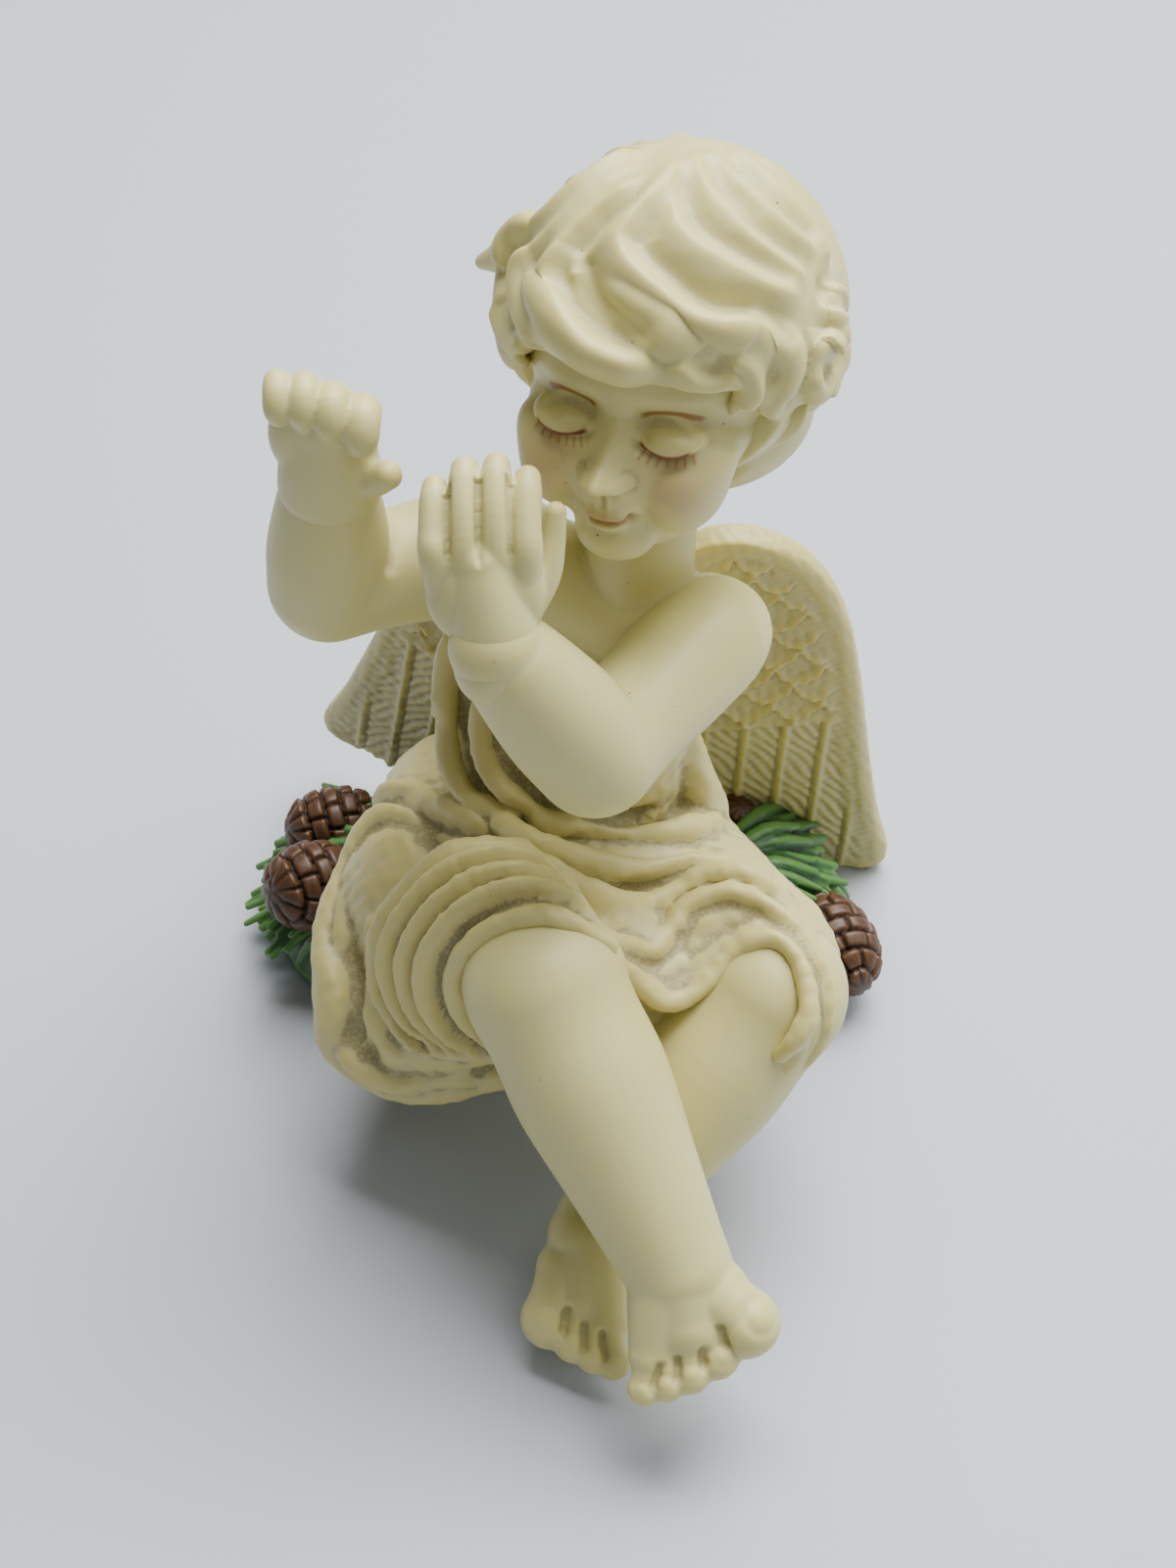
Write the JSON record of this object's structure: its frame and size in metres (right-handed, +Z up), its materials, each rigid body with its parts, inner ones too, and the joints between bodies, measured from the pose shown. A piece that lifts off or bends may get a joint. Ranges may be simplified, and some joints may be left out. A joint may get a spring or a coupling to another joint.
{
  "type": "resin angel figurine",
  "caption": "Small seated winged cherub in cast resin on a low mound of pine boughs and cones, hands raised to one side of a bent head.",
  "frame": {"origin": "middle of the flat underside, on the surface the figurine stands on", "axes": "+Z up, the figure faces -Y, its left side is at +X"},
  "size_m": [0.0639, 0.0828, 0.0929],
  "materials": {
    "ivory_resin": "waxy satin cast resin, ivory, with painted face details",
    "robe_resin": "rougher cast resin, ivory, dusty in the folds",
    "wing_resin": "cast resin, ivory, yellower on the raised edges",
    "mound_green": "matt green paint on cast resin",
    "needle_green": "green paint, dry-brushed paler on the tips",
    "cone_brown": "brown paint, darker between the scales",
    "felt": "green felt",
    "pin_steel": "plain round steel pin"
  },
  "bodies": {
    "root": {"torso": "ivory_resin", "head": "ivory_resin", "hair": "ivory_resin", "left_arm": "ivory_resin", "right_arm": "ivory_resin", "left_hand": "ivory_resin", "right_hand": "ivory_resin", "left_leg": "ivory_resin", "right_leg": "ivory_resin", "robe_bodice": "robe_resin", "robe_skirt": "robe_resin", "left_wing": "wing_resin", "right_wing": "wing_resin", "pine_mound": "mound_green", "bough_left": "needle_green", "bough_right": "needle_green", "bough_back": "needle_green", "cone_left_upper": "cone_brown", "cone_left_lower": "cone_brown", "cone_right_outer": "cone_brown", "cone_right_inner": "cone_brown", "felt_pad": "felt", "neck_pin": "pin_steel", "arm_pins": "pin_steel", "leg_pins": "pin_steel", "wing_pins": "pin_steel"}
  },
  "joints": []
}
